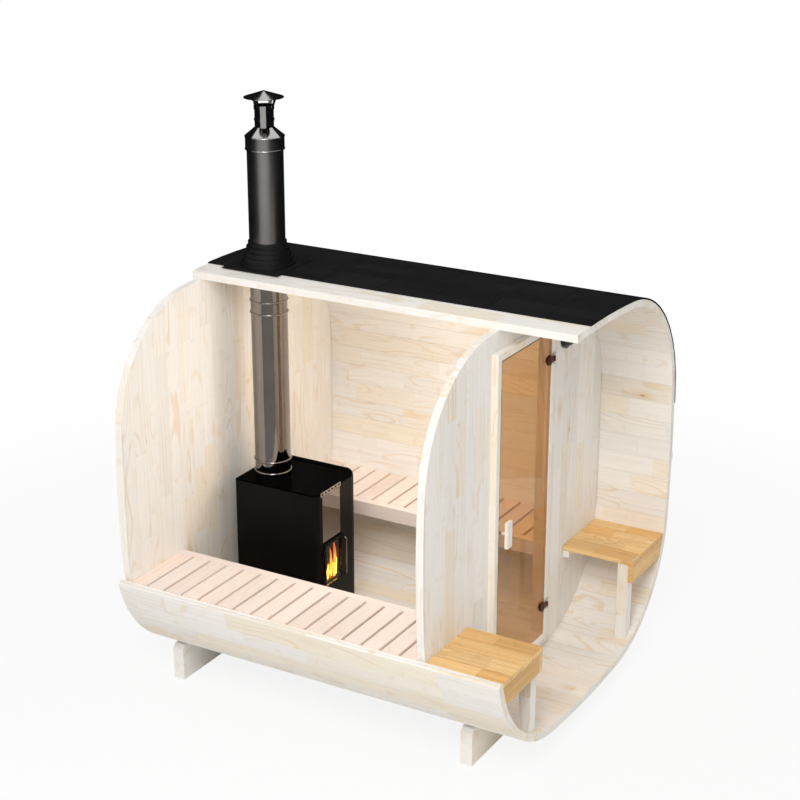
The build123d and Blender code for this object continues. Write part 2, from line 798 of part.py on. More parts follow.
top_foot_z = chimney_top_z + seat_gap
reducer_top_z = top_foot_z + reducer_height
pipe_top_z = reducer_top_z + top_pipe_height
with BuildPart() as chimney_top:
    with BuildSketch(flue_plane):
        with BuildLine():
            Polyline(
                (top_pipe_radius - top_pipe_wall, top_foot_z),
                (chimney_radius + chimney_band, top_foot_z),
                (top_pipe_radius, reducer_top_z),
                (top_pipe_radius, pipe_top_z),
                (top_pipe_radius - top_pipe_wall, pipe_top_z),
                close=True,
            )
        make_face()
        with Locations((top_pipe_radius, pipe_top_z - top_bead_drop)):
            Rectangle(2 * top_pipe_wall, 2 * flue_bead, align=(Align.CENTER, Align.MAX))
    revolve(axis=flue_axis)
finish(chimney_top, "chimney_top")

# Rain cap on four flared struts from a collar round the top pipe
brim_z = pipe_top_z + cap_gap
collar_radius = top_pipe_radius + seat_gap
strut_foot_r = collar_radius + cap_strut_thickness
strut_head_r = strut_foot_r + cap_strut_spread
strut_head_z = brim_z + cap_rise * (1 - strut_head_r / cap_radius)
with BuildPart() as rain_cap:
    with BuildSketch(flue_plane):
        with BuildLine():
            Polyline(
                (0, brim_z + cap_rise),
                (cap_radius, brim_z),
                (cap_radius, brim_z - cap_thickness),
                (0, brim_z + cap_rise - cap_thickness),
                close=True,
            )
        make_face()
        with Locations((collar_radius, pipe_top_z)):
            Rectangle(cap_strut_thickness, cap_collar_height, align=(Align.MIN, Align.MAX))
    revolve(axis=flue_axis)
    for index in range(cap_strut_count):
        turn = radians(index * 360 / cap_strut_count)
        outward = (cos(turn), sin(turn), 0)
        with BuildSketch(Plane(flue_plane.origin, x_dir=outward, z_dir=(sin(turn), -cos(turn), 0))):
            with BuildLine():
                Polyline(
                    (collar_radius, pipe_top_z - cap_collar_height / 2),
                    (strut_foot_r, pipe_top_z - cap_collar_height / 2),
                    (strut_head_r, strut_head_z - cap_thickness / 2),
                    (strut_head_r - cap_strut_thickness, strut_head_z - cap_thickness / 2),
                    close=True,
                )
            make_face()
        extrude(amount=cap_strut_width / 2, both=True)
finish(rain_cap, "rain_cap")

# Roof boot: a plate that follows the roof over the felt, and a stepped cone round the chimney
plate_outer = side_radius + felt_outer + seat_gap + boot_plate_thickness
plate_start, plate_end = (
    90 - degrees(asin((flue_x + offset) / plate_outer))
    for offset in (boot_plate_size / 2, -boot_plate_size / 2)
)
with BuildPart() as boot_plate:
    with BuildSketch(section_at(flue_y + boot_plate_size / 2)):
        add(ring_slice(roof_centre, plate_outer, boot_plate_thickness, plate_start, plate_end))
    extrude(amount=boot_plate_size)
    with BuildSketch(Plane.XY.offset(stove_top_z)):
        with Locations(flue_foot):
            Circle(roof_hole_radius)
    extrude(amount=roof_top_z, mode=Mode.SUBTRACT)
finish(boot_plate, "boot_plate")

boot_bore = chimney_radius + seat_gap
boot_wall = boot_rib_depth
boot_top_z = roof_top_z + boot_height
rib_rise = boot_height / boot_rib_count
rib_step = (boot_base_radius - boot_bore - boot_wall) / (boot_rib_count - 1)
with BuildPart() as roof_boot:
    with BuildSketch(flue_plane):
        for index in range(boot_rib_count):
            with Locations((boot_bore, roof_top_z - overrun)):
                Rectangle(
                    boot_base_radius - index * rib_step - boot_bore, overrun + (index + 1) * rib_rise,
                    align=(Align.MIN, Align.MIN),
                )
    revolve(axis=flue_axis)
    with BuildSketch(section_at(flue_y + boot_base_radius + overrun)):
        with Locations(roof_centre):
            Circle(plate_outer + seat_gap)
    extrude(amount=2 * (boot_base_radius + overrun), mode=Mode.SUBTRACT)
finish(roof_boot, "roof_boot")

# Porch lamp on the front wall: a dome on a round base
lamp_z = roof_top_z - lamp_drop
lamp_back_y = porch_wall_y - seat_gap
dome_radius = lamp_radius - lamp_dome_inset
dome_start = lamp_back_y - lamp_base_depth
dome_tip_y = dome_start - lamp_dome_rise
with BuildPart() as porch_lamp:
    with BuildSketch(Plane.XY.offset(lamp_z)):
        with BuildLine():
            Polyline(
                (lamp_offset, lamp_back_y),
                (lamp_offset + lamp_radius, lamp_back_y),
                (lamp_offset + lamp_radius, dome_start),
                (lamp_offset + dome_radius, dome_start),
            )
            TangentArc((lamp_offset, dome_tip_y), (lamp_offset + dome_radius, dome_start), tangent=(1, 0))
            Line((lamp_offset, dome_tip_y), (lamp_offset, lamp_back_y))
        make_face()
    revolve(axis=Axis((lamp_offset, lamp_back_y, lamp_z), (0, 1, 0)))
finish(porch_lamp, "porch_lamp")
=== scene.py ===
import json
import math
import random
from collections import namedtuple

import bmesh
import bpy
from mathutils import Matrix, Vector

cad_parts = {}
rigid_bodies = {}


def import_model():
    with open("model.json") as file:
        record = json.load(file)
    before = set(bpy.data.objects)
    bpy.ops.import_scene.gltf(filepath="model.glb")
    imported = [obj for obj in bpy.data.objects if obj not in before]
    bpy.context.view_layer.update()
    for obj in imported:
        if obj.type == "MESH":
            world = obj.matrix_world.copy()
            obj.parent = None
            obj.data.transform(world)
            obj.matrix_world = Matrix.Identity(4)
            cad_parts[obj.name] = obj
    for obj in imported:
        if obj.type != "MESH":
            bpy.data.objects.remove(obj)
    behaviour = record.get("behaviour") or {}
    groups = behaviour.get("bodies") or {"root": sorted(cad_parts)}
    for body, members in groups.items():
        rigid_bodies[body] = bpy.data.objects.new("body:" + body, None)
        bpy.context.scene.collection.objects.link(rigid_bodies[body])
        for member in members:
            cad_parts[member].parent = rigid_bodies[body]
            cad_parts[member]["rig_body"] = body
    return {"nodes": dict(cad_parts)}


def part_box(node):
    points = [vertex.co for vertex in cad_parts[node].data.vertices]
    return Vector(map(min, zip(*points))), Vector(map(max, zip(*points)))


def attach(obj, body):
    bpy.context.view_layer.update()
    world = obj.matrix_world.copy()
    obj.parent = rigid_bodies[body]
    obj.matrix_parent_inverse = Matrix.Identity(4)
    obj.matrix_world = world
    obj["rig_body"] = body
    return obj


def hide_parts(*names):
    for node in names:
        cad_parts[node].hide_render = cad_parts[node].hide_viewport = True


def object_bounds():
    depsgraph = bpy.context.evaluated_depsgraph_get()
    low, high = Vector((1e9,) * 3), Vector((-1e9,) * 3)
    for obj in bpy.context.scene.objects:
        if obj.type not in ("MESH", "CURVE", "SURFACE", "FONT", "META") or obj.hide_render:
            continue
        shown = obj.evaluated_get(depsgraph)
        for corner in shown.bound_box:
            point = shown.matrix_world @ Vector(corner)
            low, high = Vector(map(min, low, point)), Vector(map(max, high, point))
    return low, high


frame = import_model()
nodes = frame["nodes"]
cad_lo, cad_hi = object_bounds()

# Camera, from the vanishing lines of the photo
CAMERA_PLACE = Vector((-7.92, -4.566, 4.969))
CAMERA_AIM = Vector((0.8138, 0.4698, -0.3420))
CAMERA_LENS = 80.0
CAMERA_SENSOR = 36.0

# Studio light
WORLD_LEVEL = 0.67
KEY_PLACE = Vector((-6.2, -2.6, 6.6))
KEY_AIM = Vector((0.0, 0.2, 1.0))
KEY_WATTS = 340.0
KEY_SIZE = 3.6
ROOM_LIGHT_PLACE = Vector((0.12, 0.10, 1.62))
ROOM_LIGHT_WATTS = 15.5
ROOM_LIGHT_RADIUS = 0.26
ROOM_LIGHT_COLOUR = (1.0, 0.95, 0.89)

# Studio floor
FLOOR_RADIUS = 30.0
FLOOR_SIDES = 96
FLOOR_DROP = 0.001
FLOOR_ALBEDO = (0.86, 0.86, 0.86)
FLOOR_ROUGH = 0.9
FLOOR_GLOW_NEAR = 0.86
FLOOR_FADE = (2.2, 6.0)

# A dark round screen that only mirror-like surfaces see, open on the side of the cutaway
FLAG_RADIUS = 3.6
FLAG_LEVELS = (0.02, 6.3)
FLAG_OPEN = (math.radians(154.0), math.radians(226.0))
FLAG_STEPS = 36
FLAG_COLOUR = (0.012, 0.012, 0.014)
# A low grey card before the cutaway, for the flue pipe to mirror
CARD_X = -1.75
CARD_Y = (-3.6, 1.6)
CARD_Z = (0.05, 1.70)
CARD_COLOUR = (0.50, 0.515, 0.535)

# Mesh work
MERGE = 0.00002
FLAT_ANGLE = math.radians(0.2)
EDGE_ANGLE = math.radians(25.0)
EDGE_STEPS = 2
EDGE_PROFILE = 0.5
SMOOTH_ANGLE = math.radians(40.0)

# Boards of the end walls, and how far the edges of the woods and the felt are eased
WALL_BOARD = 0.104
WALL_JOINT = 0.0008
STAVE_EASE = 0.0012
WALL_EASE = 0.0016
FRAME_EASE = 0.002
BENCH_EASE = 0.004
PORCH_EASE = 0.003
HANDLE_EASE = 0.0015
FELT_EASE = 0.001
FELT_SWELL = 0.003

# Air grille over the stove's front panel
GRILLE_REACH = 0.012
GRILLE_LIFT = 0.0005
GRILLE_SHEET = 0.002
GRILLE_RAIL = 0.006
GRILLE_BAR = 0.014
GRILLE_SLOTS = 6
GRILLE_SLOT_ROW = 1

# Rolled beads of the chimney pipe
BEAD_BAND = 0.076
BEAD_HALF = 0.0035
BEAD_BITE = 0.0005
BEAD_STEPS = (72, 10)

# Tongues of fire behind the stove's glass
Flames = namedtuple("Flames", "count heights widths seed")
OUTER_TONGUES = Flames(count=9, heights=(0.07, 0.21), widths=(0.011, 0.023), seed=3)
INNER_TONGUES = Flames(count=7, heights=(0.05, 0.11), widths=(0.007, 0.014), seed=8)
FLAME_MARGIN = 0.014
FLAME_JITTER = (0.2, 0.8)
FLAME_DEPTHS = (0.013, 0.030)
FLAME_FEET = (0.01, 0.03)
FLAME_PHASES = (0.0, 6.0)
TONGUE_STEPS = 12
TONGUE_SIDES = 10
TONGUE_FLAT = 0.6
TONGUE_SWAY = 0.016
TONGUE_TURN = 4.5
TONGUE_LEAN = 0.3
TONGUE_FOOT = 0.16
TONGUE_SPAN = 0.835
TONGUE_POWER = 0.9
TONGUE_TIP = 0.0004

# Logs under the fire
LOG_COUNT = 3
LOG_SEED = 5
LOG_FIRST = 0.035
LOG_PITCH = 0.045
LOG_BACK = 0.025
LOG_LIFT = 0.006
LOG_STAGGER = 0.012
LOG_RADIUS = 0.019
LOG_UNEVEN = (0.9, 1.1)
LOG_STEP = 0.03
LOG_STEPS = 8
LOG_SIDES = 7
LOG_LYING = math.radians(-90.0)
LOG_TURN = 0.2

STAVE_NODES = (
    "floor_staves", "near_lower_staves", "far_lower_staves",
    "far_wall_staves", "far_upper_staves", "roof_staves",
)
WALL_NODES = (
    "back_wall", "front_wall_left", "front_wall_right",
    "front_wall_over_door", "front_wall_under_door",
)
# Grain direction of every other wooden node
SPRUCE_GRAIN = {
    "cradle_front": "X", "cradle_back": "X", "drip_lath": "Y",
    "door_jamb_left": "Z", "door_jamb_right": "Z", "door_head": "X", "door_sill": "X",
    "porch_bench_legs": "Z", "porch_bench_cleats": "X",
}
BENCH_GRAIN = {
    "near_bench_slats": "X", "far_bench_slats": "X",
    "near_bench_beam": "Y", "far_bench_beam": "Y",
    "near_bench_bearers": "Y", "far_bench_bearers": "Y",
}
PORCH_GRAIN = {"porch_bench_boards": "Y", "porch_bench_fascias": "X"}
HANDLE_GRAIN = {"door_handle_outer": "Z", "door_handle_inner": "Z"}

# Looks of the woods: colours, gloss, run of a glued length, and the strength of each feature
Wood = namedtuple(
    "Wood",
    "pale warm streak knot rough length warm_from tone boards bands lines smudge knots joint figure rings",
)
SPRUCE = Wood(
    pale=(0.888, 0.852, 0.798), warm=(0.885, 0.800, 0.665),
    streak=(0.77, 0.56, 0.32), knot=(0.44, 0.22, 0.08), rough=0.62,
    length=0.58, warm_from=0.55, tone=0.030, boards=0.030, bands=0.03,
    lines=0.44, smudge=0.26, knots=0.87, joint=0.04, figure=5.0, rings=72.0,
)
ALDER = Wood(
    pale=(0.890, 0.775, 0.705), warm=(0.885, 0.735, 0.645),
    streak=(0.78, 0.54, 0.40), knot=(0.60, 0.34, 0.20), rough=0.58,
    length=1.40, warm_from=0.30, tone=0.03, boards=0.05, bands=0.03,
    lines=0.20, smudge=0.08, knots=1.10, joint=0.0, figure=6.0, rings=80.0,
)
PINE = Wood(
    pale=(0.885, 0.590, 0.268), warm=(0.770, 0.450, 0.165),
    streak=(0.58, 0.29, 0.08), knot=(0.34, 0.14, 0.04), rough=0.50,
    length=0.30, warm_from=0.35, tone=0.08, boards=0.06, bands=0.12,
    lines=0.58, smudge=0.25, knots=0.95, joint=0.30, figure=8.0, rings=110.0,
)
CLEAR_SPRUCE = Wood(
    pale=(0.900, 0.870, 0.810), warm=(0.880, 0.820, 0.720),
    streak=(0.80, 0.70, 0.56), knot=(0.70, 0.55, 0.40), rough=0.45,
    length=1.00, warm_from=0.50, tone=0.02, boards=0.02, bands=0.03,
    lines=0.20, smudge=0.0, knots=1.10, joint=0.0, figure=10.0, rings=70.0,
)

# Axes along the grain, across it and through the board
GRAIN_AXES = {"X": (0, 1, 2), "Y": (1, 0, 2), "Z": (2, 0, 1)}
# How far its own random number moves a board's or a length's figure
LENGTH_SHIFT = 53.0
PICK_SHIFT = 97.0
ALONG_SHIFT = 41.0
ACROSS_SHIFT = 23.0
THROUGH_SHIFT = 11.0
BOARD_SHIFT = 7.0
# Uneven run of the glued lengths, and the share of a length that its seam takes
WANDER_RATE = 2.4
WANDER_SHARE = 0.22
SEAM_SHARE = 0.008
# Layers of noise in all woods: stretch along the grain, scale, detail, distortion, range that shows
Layer = namedtuple("Layer", "stretch scale detail warp low high")
PATCHES = Layer(stretch=0.30, scale=4.5, detail=2.0, warp=0.0, low=0.44, high=0.64)
SMUDGES = Layer(stretch=1.5, scale=11.0, detail=2.0, warp=0.4, low=0.58, high=0.76)
BANDS = Layer(stretch=0.02, scale=70.0, detail=2.0, warp=0.0, low=0.25, high=0.75)
FIBRES = Layer(stretch=0.03, scale=520.0, detail=3.0, warp=0.0, low=0.2, high=0.8)
FIGURE_STRETCH = 0.19
FIGURE_DETAIL = 1.0
FIGURE_WARP = 0.35
RING_FROM = 0.60
# Knots: a dark heart with a ragged edge, in a warm halo
KNOT_STRETCH = 0.45
KNOT_CELLS = 6.0
KNOT_EDGE = (0.115, 0.06)
KNOT_DEPTH = 0.8
HALO_EDGE = (0.36, 0.08)
HALO_DEPTH = 0.55
RAGGED_STRETCH = 0.30
RAGGED_SCALE = 60.0
RAGGED_SHARE = 0.08
WOOD_SPECULAR = 0.3
FIBRE_ROUGH = 0.08
FIBRE_DEPTH = 0.0005
FIBRE_BUMP = 0.35

# Range of the slow clouds in felt, steel, paint and fire
CLOUD_RANGE = (0.3, 0.7)

# Mineral felt: grit, slow clouds, and tabs with a slit between them
FELT_ROUGH = 0.9
FELT_SPECULAR = 0.06
FELT_GRIT = 900.0
FELT_GRIT_RANGE = (0.25, 0.75)
FELT_GRIT_LEVELS = (0.72, 1.28)
FELT_SHEEN_RANGE = (0.2, 0.8)
FELT_SHEEN = (0.80, 0.96)
FELT_DETAIL = 3.0
FELT_CLOUD = 9.0
FELT_CLOUD_LEVEL = 0.08
FELT_TAB = 0.333
FELT_TAB_LEVELS = (0.84, 1.16)
FELT_SLIT = (0.012, 0.022)
FELT_SLIT_LEVEL = 0.35
FELT_DEPTH = 0.0008
FELT_BUMP = 0.5

# Steel: drawn lines, and slow clouds in its gloss and tone
BRUSH_SCALE = 260.0
BRUSH_DEPTH = 0.00008
BRUSH_BUMP = 0.25
STEEL_CLOUD = 6.0
STEEL_GLOSS_RANGE = (0.6, 1.4)
STEEL_GLOSS = (0.90, 1.12)
STEEL_TONE = (0.96, 1.03)

# Paint: orange peel, and slow clouds in its gloss and tone
PEEL_SCALE = 420.0
PEEL_DEPTH = 0.00015
PEEL_BUMP = 0.3
PAINT_CLOUD = 5.0
PAINT_GLOSS_RANGE = (0.7, 1.3)
PAINT_GLOSS = (0.85, 1.15)
PAINT_TONE = (0.85, 1.15)

# Glass with faint smears
GLASS_ROUGH = 0.01
GLASS_IOR = 1.2
SMEAR_SCALE = 3.0
SMEAR_DETAIL = 3.0
SMEAR_RANGE = (0.45, 0.75)
SMEAR_GLOSS = 2.5

# Fire and charred wood
FLAME_DARK = (0.02, 0.01, 0.0)
FLAME_YELLOW = (1.0, 0.62, 0.08)
FLAME_RED = (0.85, 0.11, 0.01)
LICK_SCALE = 34.0
LICK_REACH = 0.02
CHAR_COLOUR = (0.02, 0.015, 0.012)
CHAR_ROUGH = 0.95
EMBER_COLOUR = (1.0, 0.16, 0.01)
EMBER_GLOW = 1.6
CRACK_SCALE = 55.0
CRACK_WIDTH = 0.10
CRACK_DEPTH = 0.002
CRACK_BUMP = 0.8

# Places of a colour Mix node's sockets
MIX_SHARE, MIX_FIRST, MIX_SECOND, MIX_RESULT = 0, 6, 7, 2


class Surface:
    """A material: one Principled shader and the small node graph that feeds it."""

    def __init__(self, name, colour=(0.8, 0.8, 0.8), rough=0.5, metal=0.0, **sockets):
        self.material = bpy.data.materials.new(name)
        self.material.use_nodes = True
        self.tree = self.material.node_tree
        self.shader = self.tree.nodes["Principled BSDF"]
        self.output = self.tree.nodes["Material Output"]
        self.feed(self.shader, "Base Color", colour)
        self.feed(self.shader, "Roughness", rough)
        self.feed(self.shader, "Metallic", metal)
        for socket, value in sockets.items():
            self.feed(self.shader, socket.replace("_", " "), value)

    def node(self, kind, **settings):
        made = self.tree.nodes.new("ShaderNode" + kind)
        for key, value in settings.items():
            setattr(made, key, value)
        return made

    def feed(self, node, socket, value):
        """Links a socket, or sets a number or a colour."""
        if isinstance(value, bpy.types.NodeSocket):
            self.tree.links.new(value, node.inputs[socket])
        elif isinstance(value, tuple) and len(value) == 3 and node.inputs[socket].type == "RGBA":
            node.inputs[socket].default_value = (*value, 1.0)
        else:
            node.inputs[socket].default_value = value

    def math(self, operation, first, second=0.0):
        made = self.node("Math", operation=operation)
        self.feed(made, 0, first)
        self.feed(made, 1, second)
        return made.outputs[0]

    def moved(self, value, share, far):
        """A value moved on by a share of a distance."""
        return self.math("ADD", value, self.math("MULTIPLY", share, far))

    def vector(self, x, y, z):
        made = self.node("CombineXYZ")
        for socket, value in enumerate((x, y, z)):
            self.feed(made, socket, value)
        return made.outputs[0]

    def place(self):
        return self.node("TexCoord").outputs["Object"]

    def island(self):
        """A random number that each board or course has to itself."""
        return self.node("NewGeometry").outputs["Random Per Island"]

    def axes(self, vector):
        made = self.node("SeparateXYZ")
        self.feed(made, 0, vector)
        return made.outputs

    def noise(self, at, scale, detail=2.0, distortion=0.0):
        made = self.node("TexNoise")
        self.feed(made, "Vector", at)
        self.feed(made, "Scale", scale)
        self.feed(made, "Detail", detail)
        self.feed(made, "Distortion", distortion)
        return made.outputs["Fac"]

    def pick(self, count, own):
        """A random draw for each whole count on a board."""
        made = self.node("TexWhiteNoise", noise_dimensions="2D")
        at = self.vector(self.math("FLOOR", count), self.math("MULTIPLY", own, PICK_SHIFT), 0.0)
        self.feed(made, "Vector", at)
        return made.outputs

    def spread(self, value, low, high, to_low=0.0, to_high=1.0):
        """A smooth step of a value from one range to another."""
        made = self.node("MapRange", interpolation_type="SMOOTHSTEP")
        for socket, number in enumerate((value, low, high, to_low, to_high)):
            self.feed(made, socket, number)
        return made.outputs[0]

    def mix(self, share, first, second):
        made = self.node("Mix", data_type="RGBA")
        self.feed(made, MIX_SHARE, share)
        self.feed(made, MIX_FIRST, first)
        self.feed(made, MIX_SECOND, second)
        return made.outputs[MIX_RESULT]

    def tone(self, colour, level):
        """A colour made lighter or darker by a level."""
        made = self.node("VectorMath", operation="SCALE")
        self.feed(made, 0, colour)
        self.feed(made, "Scale", level)
        return made.outputs[0]

    def colour(self, value):
        self.feed(self.shader, "Base Color", value)

    def rough(self, value):
        self.feed(self.shader, "Roughness", value)

    def bump(self, height, depth, strength):
        made = self.node("Bump")
        self.feed(made, "Height", height)
        self.feed(made, "Distance", depth)
        self.feed(made, "Strength", strength)
        self.feed(self.shader, "Normal", made.outputs[0])

    def show(self, share, shader):
        """Shows another shader in place of the Principled one, by a share."""
        both = self.node("MixShader")
        self.feed(both, 0, share)
        self.feed(both, 1, self.shader.outputs[0])
        self.feed(both, 2, shader.outputs[0])
        self.feed(self.output, "Surface", both.outputs[0])


class Timber(Surface):
    """Boards glued from shorter lengths, with the figure along one axis and new on every length."""

    def __init__(self, name, kind, grain):
        super().__init__(name, rough=kind.rough, Specular_IOR_Level=WOOD_SPECULAR)
        self.kind = kind
        self.own = self.island()
        axes = self.axes(self.place())
        run, side, deep = (axes[index] for index in GRAIN_AXES[grain])
        self.length_at = self.lengths(run)
        picks = self.axes(self.pick(self.length_at, self.own)["Color"])
        self.tone_pick, self.hue_pick, figure_pick = picks[:3]
        self.along = self.moved(run, figure_pick, ALONG_SHIFT)
        self.across = self.moved(side, self.own, ACROSS_SHIFT)
        self.through = self.moved(deep, self.tone_pick, THROUGH_SHIFT)

    def lengths(self, run):
        """The count of glued lengths up to a point, which differ a little."""
        count = self.moved(self.math("DIVIDE", run, self.kind.length), self.own, LENGTH_SHIFT)
        wave = self.math("SINE", self.math("MULTIPLY", count, WANDER_RATE))
        return self.moved(count, wave, WANDER_SHARE)

    def grained(self, stretch):
        """A place in the board, drawn out along the grain."""
        return self.vector(self.math("MULTIPLY", self.along, stretch), self.across, self.through)

    def layer(self, layer, to_low, to_high):
        """A layer of noise, spread over a range."""
        noise = self.noise(self.grained(layer.stretch), layer.scale, layer.detail, layer.warp)
        return self.spread(noise, layer.low, layer.high, to_low, to_high)

    def lines(self):
        """The dark lines of the year rings, which come and go in patches."""
        figure = self.noise(self.grained(FIGURE_STRETCH), self.kind.figure, FIGURE_DETAIL, FIGURE_WARP)
        rings = self.math("SINE", self.math("MULTIPLY", figure, self.kind.rings))
        dark = self.math("MULTIPLY", self.spread(rings, RING_FROM, 1.0), self.layer(PATCHES, 0.0, 1.0))
        return self.math("MULTIPLY", dark, self.kind.lines)

    def knots(self):
        """The hearts of the knots and the halos about them."""
        cells = self.node("TexVoronoi")
        self.feed(cells, "Vector", self.grained(KNOT_STRETCH))
        self.feed(cells, "Scale", KNOT_CELLS)
        chosen = self.math("GREATER_THAN", self.axes(cells.outputs["Color"])[0], self.kind.knots)
        ragged = self.noise(self.grained(RAGGED_STRETCH), RAGGED_SCALE)
        reach = self.moved(cells.outputs["Distance"], ragged, RAGGED_SHARE)
        heart = self.math("MULTIPLY", self.spread(reach, *KNOT_EDGE, 0.0, KNOT_DEPTH), chosen)
        halo = self.math("MULTIPLY", self.spread(reach, *HALO_EDGE, 0.0, HALO_DEPTH), chosen)
        return heart, halo

    def tint(self):
        """The wood's colour with its lines, smudges and knots."""
        kind = self.kind
        heart, halo = self.knots()
        marks = self.math("MAXIMUM", self.lines(), self.layer(SMUDGES, 0.0, kind.smudge))
        tint = self.mix(self.spread(self.hue_pick, kind.warm_from, 1.0), kind.pale, kind.warm)
        tint = self.mix(self.math("MAXIMUM", marks, halo), tint, kind.streak)
        return self.mix(heart, tint, kind.knot)

    def level(self):
        """How light the wood is, by length, by board, in bands and at the seams."""
        kind = self.kind
        board_pick = self.math("FRACT", self.math("MULTIPLY", self.own, BOARD_SHIFT))
        by_length = self.spread(self.tone_pick, 0.0, 1.0, 1.0 - kind.tone, 1.0 + kind.tone / 2)
        by_board = self.spread(board_pick, 0.0, 1.0, -kind.boards, kind.boards / 2)
        level = self.math("ADD", self.layer(BANDS, -kind.bands, kind.bands), by_length)
        level = self.math("ADD", level, by_board)
        seam = self.spread(self.math("FRACT", self.length_at), 0.0, SEAM_SHARE, 1.0 - kind.joint, 1.0)
        return self.math("MULTIPLY", level, seam)


def wood(name, kind, grain):
    """A planed wood with fine fibres along its grain."""
    s = Timber(name, kind, grain)
    s.colour(s.tone(s.tint(), s.level()))
    fibre = s.noise(s.grained(FIBRES.stretch), FIBRES.scale, FIBRES.detail, FIBRES.warp)
    dull, shiny = kind.rough + FIBRE_ROUGH, kind.rough - FIBRE_ROUGH
    s.rough(s.spread(fibre, FIBRES.low, FIBRES.high, shiny, dull))
    s.bump(fibre, FIBRE_DEPTH, FIBRE_BUMP)
    return s.material


def felt(name, colour):
    """Mineral felt: near black with a fine grit, in courses of slit tabs."""
    s = Surface(name, colour=colour, rough=FELT_ROUGH, Specular_IOR_Level=FELT_SPECULAR)
    grains = s.noise(s.place(), FELT_GRIT, FELT_DETAIL)
    broad = s.noise(s.place(), FELT_CLOUD, FELT_DETAIL)
    grit = s.spread(grains, *FELT_GRIT_RANGE, *FELT_GRIT_LEVELS)
    level = s.math("ADD", grit, s.spread(broad, *CLOUD_RANGE, -FELT_CLOUD_LEVEL, FELT_CLOUD_LEVEL))
    own = s.island()
    tabs = s.moved(s.math("DIVIDE", s.axes(s.place())[1], FELT_TAB), own, ALONG_SHIFT)
    level = s.math("MULTIPLY", level, s.spread(s.pick(tabs, own)["Value"], 0.0, 1.0, *FELT_TAB_LEVELS))
    level = s.math("MULTIPLY", level, s.spread(s.math("FRACT", tabs), *FELT_SLIT, FELT_SLIT_LEVEL, 1.0))
    s.colour(s.tone(colour, level))
    s.rough(s.spread(grains, *FELT_SHEEN_RANGE, *FELT_SHEEN))
    s.bump(grains, FELT_DEPTH, FELT_BUMP)
    return s.material


def even_finish(s, colour, rough, fine, cloud, gloss_range, gloss, tones):
    """Small changes of gloss and tone over a finish that is even on the whole."""
    low, high = (rough * part for part in gloss)
    s.rough(s.spread(s.math("ADD", fine, cloud), *gloss_range, low, high))
    s.colour(s.tone(colour, s.spread(cloud, *CLOUD_RANGE, *tones)))


def steel(name, colour, rough, brush, bump=BRUSH_BUMP):
    """Stainless steel with the faint drawn lines of a rolled tube or sheet."""
    s = Surface(name, colour=colour, rough=rough, metal=1.0)
    x, y, z = s.axes(s.place())[:3]
    lines = s.noise(s.vector(x, y, s.math("MULTIPLY", z, brush)), BRUSH_SCALE)
    cloud = s.noise(s.place(), STEEL_CLOUD)
    even_finish(s, colour, rough, lines, cloud, STEEL_GLOSS_RANGE, STEEL_GLOSS, STEEL_TONE)
    s.bump(lines, BRUSH_DEPTH, bump)
    return s.material


def paint(name, colour, rough, specular, ior=1.5):
    """Stove paint, lacquer or rubber: even colour with a slight orange peel."""
    s = Surface(name, colour=colour, rough=rough, Specular_IOR_Level=specular, IOR=ior)
    peel = s.noise(s.place(), PEEL_SCALE)
    cloud = s.noise(s.place(), PAINT_CLOUD)
    even_finish(s, colour, rough, peel, cloud, PAINT_GLOSS_RANGE, PAINT_GLOSS, PAINT_TONE)
    s.bump(peel, PEEL_DEPTH, PEEL_BUMP)
    return s.material


def tinted_glass(name, colour):
    """Tinted sheet glass that lets light through to what is behind it."""
    s = Surface(name, colour=colour, rough=GLASS_ROUGH, Transmission_Weight=1.0, IOR=GLASS_IOR)
    smears = s.noise(s.place(), SMEAR_SCALE, SMEAR_DETAIL)
    s.rough(s.spread(smears, *SMEAR_RANGE, GLASS_ROUGH, GLASS_ROUGH * SMEAR_GLOSS))
    clear = s.node("BsdfTransparent")
    s.feed(clear, "Color", tuple(math.sqrt(part) for part in colour))
    path = s.node("LightPath")
    s.show(s.math("MAXIMUM", path.outputs["Is Shadow Ray"], path.outputs["Is Diffuse Ray"]), clear)
    return s.material


def flame(name, foot, tip, glow):
    """Fire that goes from yellow at its foot to red at its tips."""
    s = Surface(name, colour=FLAME_DARK, rough=1.0, Specular_IOR_Level=0.0, Emission_Strength=glow)
    height = s.axes(s.place())[2]
    lick = s.spread(s.noise(s.place(), LICK_SCALE), *CLOUD_RANGE, -LICK_REACH, LICK_REACH)
    heat = s.spread(s.math("ADD", height, lick), foot, tip)
    s.feed(s.shader, "Emission Color", s.mix(heat, FLAME_YELLOW, FLAME_RED))
    return s.material


def burning_wood(name):
    """Charred logs with glowing cracks."""
    s = Surface(name, colour=CHAR_COLOUR, rough=CHAR_ROUGH, Emission_Strength=EMBER_GLOW)
    cracks = s.node("TexVoronoi", feature="DISTANCE_TO_EDGE")
    s.feed(cracks, "Vector", s.place())
    s.feed(cracks, "Scale", CRACK_SCALE)
    ember = s.spread(cracks.outputs["Distance"], CRACK_WIDTH, 0.0)
    s.feed(s.shader, "Emission Color", s.tone(EMBER_COLOUR, ember))
    s.bump(cracks.outputs["Distance"], CRACK_DEPTH, CRACK_BUMP)
    return s.material


